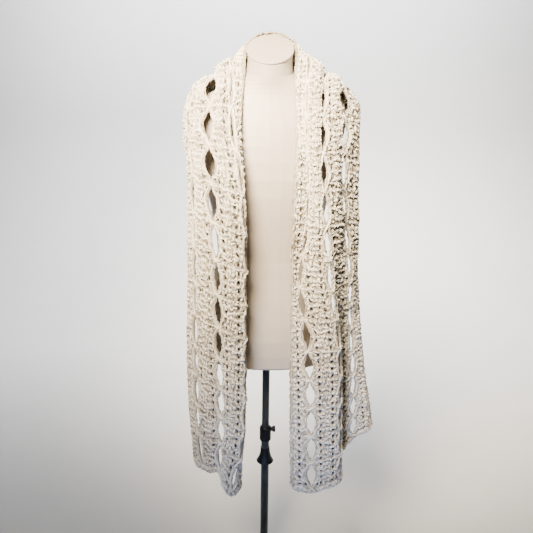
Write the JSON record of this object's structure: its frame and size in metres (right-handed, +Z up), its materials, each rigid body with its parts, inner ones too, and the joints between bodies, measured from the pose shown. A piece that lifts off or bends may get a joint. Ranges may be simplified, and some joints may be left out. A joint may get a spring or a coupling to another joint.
{
  "type": "crochet scarf on a dress form with a stand",
  "caption": "Long openwork crochet scarf draped over a limbless dress form that turns and slides on a round-footed pole stand.",
  "frame": {"origin": "middle of the base's flat underside, on the pole's axis", "axes": "+Z up along the pole, -Y to the front of the form, where both ends of the scarf hang, +X to a viewer's right"},
  "size_m": [0.5182, 0.3495, 1.6419],
  "materials": {
    "cotton": "matte",
    "form_shell": "matte",
    "pole_paint": "satin",
    "black_plastic": "satin"
  },
  "bodies": {
    "stand": {"base": "pole_paint", "outer_tube": "pole_paint", "flared_collar": "black_plastic", "clamp_collar": "black_plastic"},
    "mast": {"mast": "pole_paint"},
    "form": {"torso": "form_shell", "neck_cap": "form_shell", "scarf_left_front": "cotton", "scarf_behind_neck": "cotton", "scarf_right_front": "cotton"},
    "screw": {"clamp_screw": "black_plastic"}
  },
  "joints": [
    {"name": "height_slide", "type": "slide", "parent": "stand", "child": "mast", "axis": [0, 0, 1], "range_m": [-0.2, 0.25]},
    {"name": "form_swivel", "type": "hinge", "parent": "mast", "child": "form", "pos_m": [0, 0, 0.803], "axis": [0, 0, 1], "continuous": true},
    {"name": "clamp_screw_turn", "type": "hinge", "parent": "stand", "child": "screw", "pos_m": [0.02, 0, 0.5625], "axis": [1, 0, 0], "range_deg": [-360, 0]}
  ]
}
